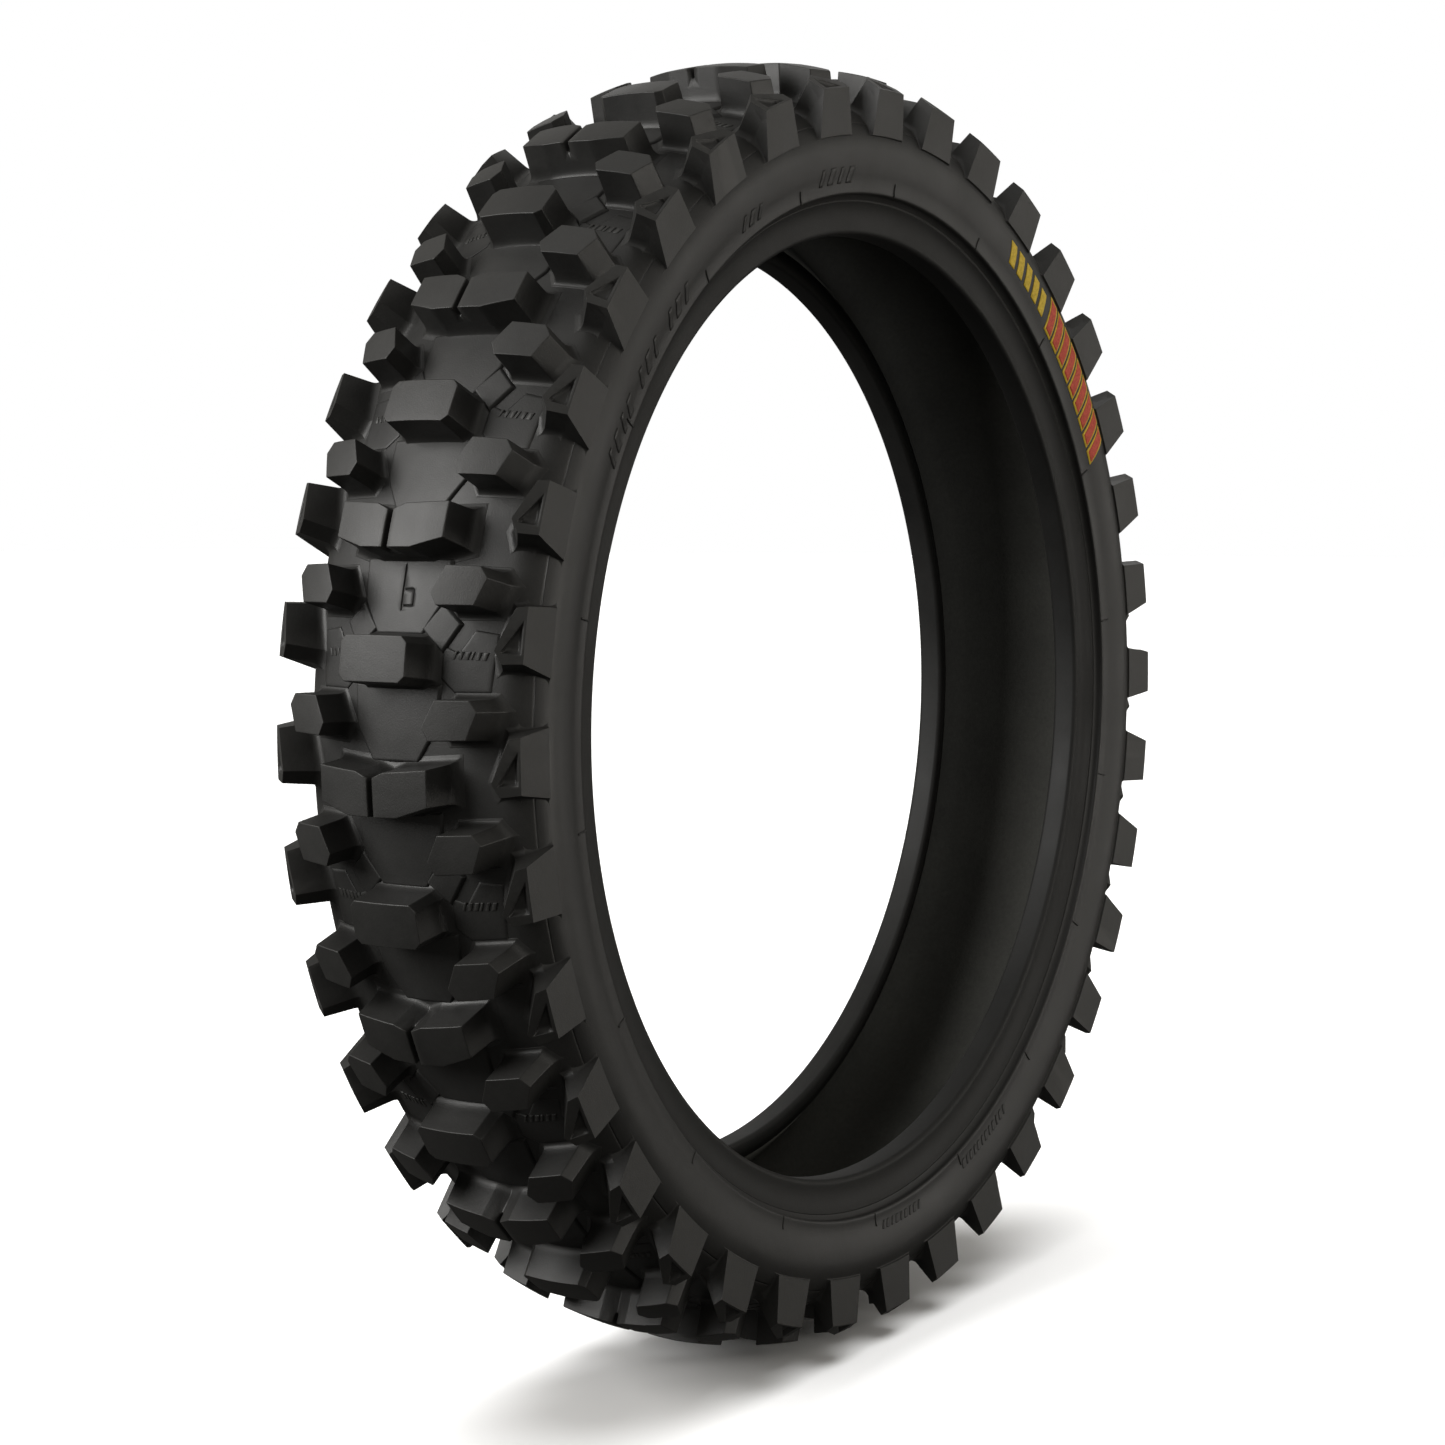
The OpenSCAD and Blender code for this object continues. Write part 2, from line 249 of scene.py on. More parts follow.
def rubber(name, dark, pale, roughness, edge=0.5, grain=0.6, ripple=0.0, shine=0.5):
    """Moulded rubber: two close tones in soft patches, a painted highlight on sharp edges, a fine grain and
    faint flow marks.
    """
    material = bpy.data.materials.new(name)
    material.use_nodes = True
    nodes, links = material.node_tree.nodes, material.node_tree.links
    shader = nodes["Principled BSDF"]
    coords = nodes.new("ShaderNodeTexCoord").outputs["Object"]
    patches = noise(nodes, links, coords, 22.0)
    specks = noise(nodes, links, coords, 420.0, 6.0, 0.7)
    tone = mixed(nodes, links, "MIX", ranged(nodes, links, patches, 0, 1), (*dark, 1), (*pale, 1))
    speckle = mixed(nodes, links, "MIX", ranged(nodes, links, specks, 0, 1),
                    (0.6, 0.6, 0.6, 1), (1.3, 1.3, 1.3, 1))
    tone = mixed(nodes, links, "MULTIPLY", 0.35, tone, speckle)
    geometry = nodes.new("ShaderNodeNewGeometry")
    # Painted highlight: sharp outer edges are lightened towards twice the pale tone, as if light caught them.
    edge_highlight = ranged(nodes, links, geometry.outputs["Pointiness"], 0, edge, 0.53, 0.62)
    tone = mixed(nodes, links, "MIX", edge_highlight, tone, tuple(2.1 * c for c in pale) + (1,))
    links.new(tone, shader.inputs["Base Color"])
    links.new(ranged(nodes, links, patches, roughness - 0.05, roughness + 0.06), shader.inputs["Roughness"])
    shader.inputs["Specular IOR Level"].default_value = shine
    bump = nodes.new("ShaderNodeBump")
    bump.inputs["Strength"].default_value = grain
    bump.inputs["Distance"].default_value = 0.00012
    links.new(noise(nodes, links, coords, 1400.0, 3.0), bump.inputs["Height"])
    flow = nodes.new("ShaderNodeBump")
    flow.inputs["Strength"].default_value = 0.5
    flow.inputs["Distance"].default_value = 0.0006
    links.new(noise(nodes, links, coords, 45.0, 2.0), flow.inputs["Height"])
    links.new(bump.outputs[0], flow.inputs["Normal"])
    last = flow
    if ripple:
        last = bladder_ripple(nodes, links, coords, ripple, last)
    links.new(last.outputs[0], shader.inputs["Normal"])
    return material


def bladder_ripple(nodes, links, coords, depth, before):
    """Fine ridges round the inside, as a curing bladder leaves them."""
    spread = nodes.new("ShaderNodeMapping")
    spread.inputs["Scale"].default_value = (260, 12, 260)
    links.new(coords, spread.inputs["Vector"])
    ridges = noise(nodes, links, spread.outputs[0], 1.0, 3.0)
    bump = nodes.new("ShaderNodeBump")
    bump.inputs["Strength"].default_value = 0.8
    bump.inputs["Distance"].default_value = depth
    links.new(ridges, bump.inputs["Height"])
    links.new(before.outputs[0], bump.inputs["Normal"])
    return bump


def paint(name, dark, pale, roughness):
    """Label paint: an even colour, thin in places so that the rubber shows through."""
    material = bpy.data.materials.new(name)
    material.use_nodes = True
    nodes, links = material.node_tree.nodes, material.node_tree.links
    shader = nodes["Principled BSDF"]
    coords = nodes.new("ShaderNodeTexCoord").outputs["Object"]
    thin = noise(nodes, links, coords, 600.0, 5.0, 0.7)
    tone = mixed(nodes, links, "MIX", ranged(nodes, links, thin, 0, 1, 0.35, 0.75), (*pale, 1), (*dark, 1))
    links.new(tone, shader.inputs["Base Color"])
    links.new(ranged(nodes, links, thin, roughness, roughness + 0.2), shader.inputs["Roughness"])
    bump = nodes.new("ShaderNodeBump")
    bump.inputs["Strength"].default_value = 0.4
    bump.inputs["Distance"].default_value = 0.0001
    links.new(thin, bump.inputs["Height"])
    links.new(bump.outputs[0], shader.inputs["Normal"])
    return material


def cord_fabric(name, dark, pale):
    """Rubberised ply cord: close parallel cords, darker between them."""
    material = bpy.data.materials.new(name)
    material.use_nodes = True
    nodes, links = material.node_tree.nodes, material.node_tree.links
    shader = nodes["Principled BSDF"]
    coords = nodes.new("ShaderNodeTexCoord").outputs["Object"]
    cords = nodes.new("ShaderNodeTexWave")
    cords.bands_direction = "DIAGONAL"
    cords.inputs["Scale"].default_value = 300.0
    cords.inputs["Distortion"].default_value = 0.6
    links.new(coords, cords.inputs["Vector"])
    tone = mixed(nodes, links, "MIX", cords.outputs["Fac"], (*dark, 1), (*pale, 1))
    links.new(tone, shader.inputs["Base Color"])
    shader.inputs["Roughness"].default_value = 0.8
    bump = nodes.new("ShaderNodeBump")
    bump.inputs["Distance"].default_value = 0.0002
    links.new(cords.outputs["Fac"], bump.inputs["Height"])
    links.new(bump.outputs[0], shader.inputs["Normal"])
    return material


def bronze_wire(name):
    """Bronze-coated steel wire with fine drawing marks."""
    material = bpy.data.materials.new(name)
    material.use_nodes = True
    nodes, links = material.node_tree.nodes, material.node_tree.links
    shader = nodes["Principled BSDF"]
    coords = nodes.new("ShaderNodeTexCoord").outputs["Object"]
    marks = noise(nodes, links, coords, 900.0)
    links.new(mixed(nodes, links, "MIX", marks, (0.42, 0.27, 0.13, 1), (0.72, 0.5, 0.28, 1)),
              shader.inputs["Base Color"])
    links.new(ranged(nodes, links, marks, 0.25, 0.45), shader.inputs["Roughness"])
    shader.inputs["Metallic"].default_value = 1.0
    bump = nodes.new("ShaderNodeBump")
    bump.inputs["Distance"].default_value = 0.00005
    links.new(marks, bump.inputs["Height"])
    links.new(bump.outputs[0], shader.inputs["Normal"])
    return material


make_camera()
make_world()
make_floor()
softbox("key", (-0.77, 0.5, 0.38), 2.2, (1.3, 1.2), 39, (1, 0.99, 0.97))
softbox("side", (-0.25, -0.93, 0.30), 2.4, (0.9, 1.6), 4, (1, 0.96, 0.9))
softbox("flank", (0.25, -0.95, 0.02), 2.4, (0.7, 1.2), 12, (1, 0.96, 0.89))
softbox("rim", (0.78, -0.6, 0.1), 2.4, (0.6, 1.6), 5, (1, 0.96, 0.9))
softbox("top", (-0.3, 0.1, 0.95), 2.2, (1.4, 1.4), 3)
softbox("back", (0.8, 0.45, 0.5), 2.4, (1.6, 1.6), 4)

TREAD = rubber("tread_rubber", (0.017, 0.0168, 0.016), (0.026, 0.0255, 0.024), 0.47)
FLOOR_RUBBER = rubber("groove_rubber", (0.014, 0.0138, 0.013), (0.022, 0.0216, 0.0204), 0.5)
SIDEWALL = rubber("sidewall_rubber", (0.013, 0.0128, 0.0124), (0.019, 0.0187, 0.018), 0.46, grain=0.45)
CHAFER = rubber("chafer_rubber", (0.010, 0.010, 0.0096), (0.016, 0.0158, 0.015), 0.56, grain=0.4, shine=0.3)
LINER = rubber("liner_rubber", (0.045, 0.045, 0.041), (0.062, 0.062, 0.056), 0.75, ripple=0.0001, shine=0.15)
BASE = rubber("base_rubber", (0.02, 0.02, 0.019), (0.03, 0.03, 0.028), 0.6)
YELLOW = paint("label_yellow", (0.55, 0.36, 0.02), (0.92, 0.64, 0.04), 0.5)
RED = paint("label_red", (0.42, 0.04, 0.022), (0.75, 0.09, 0.04), 0.5)
CORD = cord_fabric("ply_cord", (0.06, 0.05, 0.035), (0.3, 0.25, 0.15))
WIRE = bronze_wire("bead_wire")


# ---- curves of the section, as lists of (y, r, normal y, normal r) ----

def arc(centre, radius, start, end, steps, side=1):
    """Points on an arc about centre. Angles run from straight up, and side -1 turns the normals inward."""
    points = []
    for i in range(steps + 1):
        a = math.radians(start + (end - start) * i / steps)
        points.append((centre[0] + radius * math.sin(a), centre[1] + radius * math.cos(a),
                       side * math.sin(a), side * math.cos(a)))
    return points


def moved(path, distance):
    return [(p[0] + distance * p[2], p[1] + distance * p[3]) for p in path]


def crown_radius(apex, shoulder, radius):
    """Radius of the crown arc that passes the apex and runs smoothly into the shoulder arc."""
    return (shoulder[0] ** 2 + (shoulder[1] - apex) ** 2 - radius ** 2) / (2 * (apex - shoulder[1] - radius))


CROWN_R = crown_radius(CASING_R, SHOULDER, SHOULDER_R)
CROWN_C = CASING_R - CROWN_R
CROWN_A = math.degrees(math.asin(SHOULDER[0] / (CROWN_R - SHOULDER_R)))
LOWER_C = (SHOULDER[0] + (SHOULDER_R - LOWER_R) * math.sin(math.radians(SIDE_A)),
           SHOULDER[1] + (SHOULDER_R - LOWER_R) * math.cos(math.radians(SIDE_A)))


def surface(s, height=0.0):
    """A point on the casing: s is the distance along its section from the end of the crown arc."""
    side_s = SHOULDER_R * math.radians(SIDE_A - CROWN_A)
    if s < 0:
        centre, radius, a = (0, CROWN_C), CROWN_R, math.radians(CROWN_A) + s / CROWN_R
    elif s < side_s:
        centre, radius, a = SHOULDER, SHOULDER_R, math.radians(CROWN_A) + s / SHOULDER_R
    else:
        centre, radius, a = LOWER_C, LOWER_R, math.radians(SIDE_A) + (s - side_s) / LOWER_R
    return (centre[0] + (radius + height) * math.sin(a), centre[1] + (radius + height) * math.cos(a))


def floor_at(y):
    """Radius of the groove floor at sideways place y (an array)."""
    y = np.abs(y)
    start = CROWN_R * math.sin(math.radians(CROWN_A))
    crown = CROWN_C + np.sqrt(CROWN_R ** 2 - np.minimum(y, start) ** 2)
    over = np.clip(y - SHOULDER[0], 0, SHOULDER_R)
    shoulder = SHOULDER[1] + np.sqrt(SHOULDER_R ** 2 - over ** 2)
    return np.where(y <= start, crown, shoulder)


def top_at(y):
    return TREAD_R - y ** 2 / (2 * CROWN_CURVE_R)


# ---- meshes ----

def new_object(name, vertices, faces, material, replaced=()):
    """A piece in metres that rides with the tyre, shaded smooth."""
    mesh = bpy.data.meshes.new(name)
    mesh.from_pydata((np.asarray(vertices) * MM).tolist(), [], faces)
    mesh.validate()
    mesh.materials.append(material)
    mesh.shade_smooth()
    piece = bpy.data.objects.new(name, mesh)
    bpy.context.scene.collection.objects.link(piece)
    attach(piece, "root")
    if replaced:
        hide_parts(*replaced)
    return piece


def keep_flats(piece):
    """Lets the large faces set the shading, so that the flats stay flat between rounded edges."""
    weighted = piece.modifiers.new("flats", "WEIGHTED_NORMAL")
    weighted.mode = "FACE_AREA"
    weighted.weight = 80
    weighted.keep_sharp = True


def ring(name, outline, material, replaced):
    """A closed ring turned from an outline of (y, r) points, anticlockwise with r upwards."""
    outline = np.array(outline)
    area = np.sum(outline[:, 0] * np.roll(outline[:, 1], -1) - np.roll(outline[:, 0], -1) * outline[:, 1])
    if area < 0:
        outline = outline[::-1]
    n = len(outline)
    vertices = []
    for j in range(SEGMENTS):
        a = 2 * math.pi * j / SEGMENTS
        y, r = outline.T
        vertices.append(np.column_stack((-r * math.cos(a), y, r * math.sin(a))))
    faces = []
    for j in range(SEGMENTS):
        here, after = j * n, (j + 1) % SEGMENTS * n
        for i in range(n):
            k = (i + 1) % n
            faces.append((here + i, here + k, after + k, after + i))
    return new_object(name, np.vstack(vertices), faces, material, replaced)


def round_tyre(name, shape, angles, material, replaced=(), side=1):
    """One mesh that holds a copy of shape at each angle. A shape is (points as y, t, r; faces)."""
    points, faces = shape
    count, vertices, all_faces = len(points), [], []
    for k, angle in enumerate(angles):
        a = math.radians(angle) + points[:, 1] / TREAD_R
        y, r = points[:, 0], points[:, 2]
        vertices.append(np.column_stack((-r * np.cos(a), side * y, r * np.sin(a))))
        for f in faces:
            turned = [k * count + i for i in f]
            all_faces.append(turned[::-1] if side == 1 else turned)
    return new_object(name, np.vstack(vertices), all_faces, material, replaced)


def joined(shapes):
    """Several shapes as one."""
    points, faces, base = [], [], 0
    for p, f in shapes:
        points.append(p)
        faces += [[base + i for i in face] for face in f]
        base += len(p)
    return np.vstack(points), faces


# ---- tread blocks, first drawn flat as (y, t, height) ----

def offset(outline, distance):
    """The outline moved outward, with mitred corners. Outlines run anticlockwise."""
    moved_points = []
    n = len(outline)
    for i in range(n):
        before, here, after = (np.array(outline[(i + k) % n], float) for k in (-1, 0, 1))
        e1, e2 = here - before, after - here
        n1 = np.array((e1[1], -e1[0])) / np.hypot(*e1)
        n2 = np.array((e2[1], -e2[0])) / np.hypot(*e2)
        moved_points.append(here + distance * (n1 + n2) / (1 + n1 @ n2))
    return np.array(moved_points)


def loft(rings, top_faces=None, foot_faces=None):
    """A closed bmesh through rings of equal length, from the top down."""
    bm = bmesh.new()
    rows = [[bm.verts.new([float(c) for c in p]) for p in r] for r in rings]
    n = len(rings[0])
    for face in top_faces or [range(n)]:
        bm.faces.new([rows[0][i] for i in face])
    for upper, lower in zip(rows, rows[1:]):
        for i in range(n):
            k = (i + 1) % n
            bm.faces.new((lower[i], lower[k], upper[k], upper[i]))
    for face in foot_faces or [range(n)]:
        bm.faces.new([rows[-1][i] for i in face][::-1])
    return bm


def with_height(outline, height):
    return [(p[0], p[1], height) for p in outline]


def round_edges(bm, width, deepest):
    """Rounds the sharp edges that lie above the given height."""
    bm.normal_update()
    sharp = [e for e in bm.edges if len(e.link_faces) == 2 and e.calc_face_angle(0) > math.radians(24)
             and max(v.co.z for v in e.verts) > deepest]
    bmesh.ops.bevel(bm, geom=sharp, offset=width, segments=3, profile=0.5, affect="EDGES", clamp_overlap=True)


def carved(bm, cutters):
    """The bmesh with each cutter's shape taken out of it."""
    def as_object(shape):
        mesh = bpy.data.meshes.new("work")
        bmesh.ops.recalc_face_normals(shape, faces=shape.faces[:])
        shape.to_mesh(mesh)
        shape.free()
        work = bpy.data.objects.new("work", mesh)
        bpy.context.scene.collection.objects.link(work)
        return work

    body = as_object(bm)
    tools = [as_object(c) for c in cutters]
    for tool in tools:
        cut = body.modifiers.new("cut", "BOOLEAN")
        cut.operation, cut.solver, cut.object = "DIFFERENCE", "EXACT", tool
    bpy.context.view_layer.update()
    result = bmesh.new()
    result.from_mesh(body.evaluated_get(bpy.context.evaluated_depsgraph_get()).to_mesh())
    for work in [body, *tools]:
        bpy.data.objects.remove(work)
    return result


def flat_shape(bm, step=4.0):
    """Points and faces of a bmesh, cut on a grid so that it bends smoothly round the tyre."""
    bmesh.ops.dissolve_degenerate(bm, dist=0.002, edges=bm.edges[:])
    for axis in (0, 1):
        values = [v.co[axis] for v in bm.verts]
        normal = [0, 0, 0]
        normal[axis] = 1
        for k in range(math.ceil(min(values) / step), math.floor(max(values) / step) + 1):
            place = [0, 0, 0]
            place[axis] = k * step
            bmesh.ops.bisect_plane(bm, geom=bm.verts[:] + bm.edges[:] + bm.faces[:], dist=0.003,
                                   plane_co=place, plane_no=normal)
    bmesh.ops.triangulate(bm, faces=[f for f in bm.faces if len(f.verts) > 4])
    bm.verts.index_update()
    points = np.array([v.co[:] for v in bm.verts], float)
    faces = [[v.index for v in f.verts] for f in bm.faces]
    bm.free()
    return points, faces


def on_crown(shape):
    """Turns heights above the groove floor into radii; the full height reaches the tread's curve."""
    points, faces = shape
    y, t, h = points.T
    room = np.where(h > 0, (top_at(y) - floor_at(y)) / BLOCK_H, 1.0)
    return np.column_stack((y, t, floor_at(y) + h * room)), faces


def foot_curve(steps=6):
    """(share of the curve's rise, share of its reach) along the hollow curve at a block's foot."""
    for i in range(steps + 1):
        u = i / steps
        yield (1 - u) ** 2, u ** 2


def crown_block(outline, cutters=(), flare=FLARE, fillet=FILLET):
    """A drafted block with a hollow foot curve and rounded edges."""
    start = RISE / BLOCK_H
    rings = [with_height(outline, BLOCK_H)]
    for up, out in foot_curve():
        rings.append(with_height(offset(outline, flare * (1 - start * up) + fillet * out), SKIRT + RISE * up))
    foot = flare + fillet
    rings.append(with_height(offset(outline, foot + 0.5), -0.12))
    rings.append(with_height(offset(outline, foot + 0.5), -SINK))
    bm = loft(rings)
    round_edges(bm, EDGE, 0.3)
    if cutters:
        bm = carved(bm, cutters)
    return on_crown(flat_shape(bm))


PLAIN_OUTLINE = [(-15, -11.5), (15, -11.5), (18, -8.7), (18, 5.8), (15.2, 8.6), (-15.2, 8.6),
                 (-18, 5.8), (-18, -8.7)]
SPLIT_OUTLINE = [(-13.5, -11.1), (0, -11.3), (13.5, -11.1), (29, -6.2), (29, 10), (7.5, 8.2), (0, 5),
                 (-7.5, 8.2), (-29, 10), (-29, -6.2)]
INTERMEDIATE_OUTLINE = [(26.8, -3.2), (30, -9), (47, -8.2), (51.5, 4), (48, 9), (32.5, 8.6)]
SLIT_HALF, SLIT_DEPTH = 1.35, 5.5


def slit_cutter():
    """A narrow slot across the middle of a split block, with eased lips and a round bottom."""
    deep = BLOCK_H - SLIT_DEPTH
    section = [(-SLIT_HALF - 0.7, BLOCK_H + 1), (-SLIT_HALF - 0.45, BLOCK_H), (-SLIT_HALF, BLOCK_H - 0.7),
               (-SLIT_HALF + 0.1, deep + 1), (-0.5, deep), (0.5, deep), (SLIT_HALF - 0.1, deep + 1),
               (SLIT_HALF, BLOCK_H - 0.7), (SLIT_HALF + 0.45, BLOCK_H), (SLIT_HALF + 0.7, BLOCK_H + 1)]
    return loft([[(y, t, h) for y, h in section] for t in (-30, 30)])


# ---- shoulder blocks, drawn straight as (y, t, r) ----

SHOULDER_IN = (60.3, TREAD_R - 12.2)        # an inner corner of the sloping top face
SHOULDER_OUT = (reach("shoulder_blocks_left", 1), TREAD_R - 17.5)
SHOULDER_LOW = (65.3, CASING_R - 22.2)      # lower edge of the side face


def stepped_end(outline, s):
    """The outline of a foot, with its outer end cut off at s, where the side face ends in a step."""
    return [(min(p[0], s), p[1]) for p in outline]


def shoulder_block():
    """A block with a sloping top, a side face below its crease, and a triangular pocket in the top."""
    def at(place, t):
        return (place[0], t, place[1])

    top = [at(SHOULDER_IN, -11.9), at(SHOULDER_OUT, -11.2), at(SHOULDER_LOW, -16.2), at(SHOULDER_LOW, 18),
           at(SHOULDER_OUT, 14.3), at((63.5, TREAD_R - 14.6), 13.2), at((57.5, TREAD_R - 10.1), -5.9)]
    foot = [(0.4, -14.2), (8.6, -13.9), (20.9, -16.9), (20.9, 18.7), (8.6, 16.6), (4.2, 15.6), (-2, -7.3)]
    reach_out = stepped_end(offset(foot, FILLET), 21.2)
    sunk = stepped_end(offset(foot, FILLET + 0.5), 21.3)
    rings = [top]
    for up, out in foot_curve():
        row = []
        for high, low, far in zip(top, foot, reach_out):
            high = np.array(high)
            base = np.array(at(surface(low[0]), low[1]))
            start = base + (high - base) * min(0.6, FILLET / np.linalg.norm(high - base))
            end = np.array(at(surface(far[0]), far[1]))
            row.append(base + (start - base) * up + (end - base) * out)
        rings.append(row)
    rings.append([at(surface(s, -0.12), t) for s, t in sunk])
    rings.append([at(surface(s, -SINK), t) for s, t in sunk])
    halves = [(0, 1, 4, 5, 6), (1, 2, 3, 4)]
    bm = loft(rings, halves, halves)
    bm.verts.ensure_lookup_table()
    bottom = set(bm.verts[-7:])
    bm.normal_update()
    sharp = [e for e in bm.edges if e.calc_face_angle(0) > math.radians(24) and not (set(e.verts) & bottom)]
    bmesh.ops.bevel(bm, geom=sharp, offset=EDGE, segments=3, profile=0.5, affect="EDGES", clamp_overlap=True)
    return flat_shape(carved(bm, [pocket_cutter()]))


def pocket_cutter():
    """A shallow right-angled triangle, sunk at right angles to the sloping top face."""
    along = np.array((SHOULDER_IN[0] - SHOULDER_OUT[0], 0, SHOULDER_IN[1] - SHOULDER_OUT[1]))
    along /= np.linalg.norm(along)
    out = np.array((along[2], 0, -along[0]))
    def crease_point(t):
        return np.array((SHOULDER_OUT[0], t, SHOULDER_OUT[1]))

    corners = [(1.3, -7.0), (1.3, 7.4), (9.8, -7.0)]
    rings = []
    for depth, inset in ((1.0, -0.5), (0.0, -0.25), (-0.35, 0.0), (-2.0, 0.7)):
        flat = offset([(-q, t) for q, t in corners], -inset)
        rings.append([crease_point(t) - q * along + depth * out for q, t in flat])
    return loft(rings)


# ---- what lies on the groove floor ----

WIDE_PLATFORM = [(-12, -17), (12, -17), (21, -2), (22.5, 16.5), (-22.5, 16.5), (-21, -2)]
OUTER_PLATFORM = [(24, -8), (30, -13.5), (45, -13), (47, 12), (38, 13), (31, 2), (24, 5)]
TIE_BAR = [(13.4, 13.6), (23, 4.4), (30.4, 16.4), (22, 24.6)]
PLATFORM_H, OUTER_H, TIE_H = 1.2, 0.45, 1.5


def plate(outline, height, edge=0.35, cutters=()):
    """A thin plate on the groove floor, with sloping sides."""
    bm = loft([with_height(outline, height), with_height(offset(outline, 0.6), 0.7 * height),
               with_height(offset(outline, 1.2), 0.05), with_height(offset(outline, 1.25), -SINK)])
    round_edges(bm, edge, 0.21)
    if cutters:
        bm = carved(bm, cutters)
    points, faces = flat_shape(bm)
    y, t, h = points.T
    return np.column_stack((y, t, floor_at(y) + h)), faces


def bar_cutter(y0, t0, y1, t1):
    """A straight thin groove cutter between two corners of a rectangle, in a platform's top."""
    outline = [(y0, t0), (y1, t0), (y1, t1), (y0, t1)]
    return loft([with_height(outline, PLATFORM_H + 1), with_height(outline, PLATFORM_H - 0.8)])


def insert_mark():
    """Grooves that draw a long line and a small frame beside it."""
    line, thin = 0.55, 0.3
    left, right, low, high = -6.0, -0.9, -5.0, 2.4
    return [bar_cutter(-line, -7.2, line, 14.0),
            bar_cutter(left - thin, low - thin, left + thin, high + thin),
            bar_cutter(left, low - thin, right, low + thin),
            bar_cutter(left, high - thin, right, high + thin)]


def slanted_bars(count, y0, y1, t0, t1, lean, height):
    """A row of short slanted ribs on a platform, each as a shape."""
    pitch = (y1 - y0) / count
    shapes = []
    for i in range(count):
        left = y0 + pitch * i
        width = pitch * (0.38 + 0.16 * (i % 3))
        outline = [(left, t0), (left + width, t0), (left + width + lean, t1), (left + lean, t1)]
        bm = loft([with_height(outline, OUTER_H + height), with_height(offset(outline, 0.15), OUTER_H - 0.3)])
        points, faces = flat_shape(bm)
        y, t, h = points.T
        shapes.append((np.column_stack((y, t, floor_at(y) + h)), faces))
    return shapes


# ---- rings ----

def inner_curves():
    """The ply's inner face: crown, shoulder and bead arcs, and the crown's apex radius."""
    plies = 2 * PLY_T
    apex = CASING_R - CAP_T - BELT_T - plies
    centre, radius = (SHOULDER[0] - 0.5, SHOULDER[1] - 4.5), 18.0
    crown_r = crown_radius(apex, centre, radius)
    a1 = math.degrees(math.asin(centre[0] / (crown_r - radius)))
    wrap = 3.9 + plies
    bead = (BEAD_HALF - 1.5 - wrap, BEAD_R + 1.2 + wrap)
    to_bead = (bead[0] - centre[0], bead[1] - centre[1])
    a2 = (math.degrees(math.atan2(to_bead[0], to_bead[1]))
          - math.degrees(math.acos((radius + wrap) / math.hypot(*to_bead))))
    crown = arc((0, apex - crown_r), crown_r, 0, a1, 24)
    shoulder = arc(centre, radius, a1, a2, 36)
    round_bead = arc(bead, wrap, a2 + 180, 105, 30, -1)
    return crown, shoulder, round_bead


IN_CROWN, IN_SHOULDER, IN_BEAD = inner_curves()
OUT_CROWN = arc((0, CROWN_C), CROWN_R, 0, CROWN_A, 26)
OUT_SHOULDER = arc(SHOULDER, SHOULDER_R, CROWN_A, SPLIT_A, 14)
OUT_SIDE = arc(SHOULDER, SHOULDER_R, SPLIT_A, SIDE_A, 18)
OUT_LOWER = arc(LOWER_C, LOWER_R, SIDE_A, 108, 8)
SPLIT_STEP = round(len(IN_SHOULDER) * 5 / 14)


def both_sides(half):
    """The half section and its mirrored half as one outline, for a half that starts at the middle."""
    return [(-y, r) for y, r in half[::-1]] + list(half[1:])


def flange():
    """(y, r) of the lower sidewall: a slight hollow, the rim rib's nose and the rim line's groove."""
    start = moved(OUT_LOWER, 0)[-1]
    nose_y, nose_r = start[0] - 1.5, CASING_R - 49.6
    hollow = []
    for i in range(1, 9):
        u = i / 8
        across = 1 - (1 - u) ** 2
        hollow.append((start[0] + (nose_y - start[0]) * across, start[1] + (nose_r - start[1]) * u))
    nose = moved(arc((nose_y - 1.5, nose_r), 1.5, 90, 175, 6), 0)
    return hollow + nose[1:] + [(RIM_LINE[0] + 0.4, nose[-1][1] - 0.3), RIM_LINE]


RIM_LINE = (56.7, CASING_R - 53.6)


def make_tread_cap():
    top = moved(OUT_CROWN, 0) + moved(OUT_SHOULDER, 0)[1:]
    plies = 2 * PLY_T
    under = moved(IN_CROWN[:23], plies + BELT_T) + moved(IN_CROWN[22:], plies) + moved(
        IN_SHOULDER[1:SPLIT_STEP + 1], plies)
    outline = both_sides(top) + both_sides(under)[::-1]
    ring("tread_cap_band", outline, FLOOR_RUBBER, ["tread_cap"])


def make_sidewall(side, word):
    outline = (moved(OUT_SIDE, 0) + moved(OUT_LOWER, 0)[1:] + flange() + [(52.5, CASING_R - 55.5)]
               + moved(IN_SHOULDER[SPLIT_STEP:], 2 * PLY_T)[::-1])
    outline = [(side * y, r) for y, r in outline]
    ring("sidewall_" + word + "_skin", outline, SIDEWALL, ["sidewall_" + word])


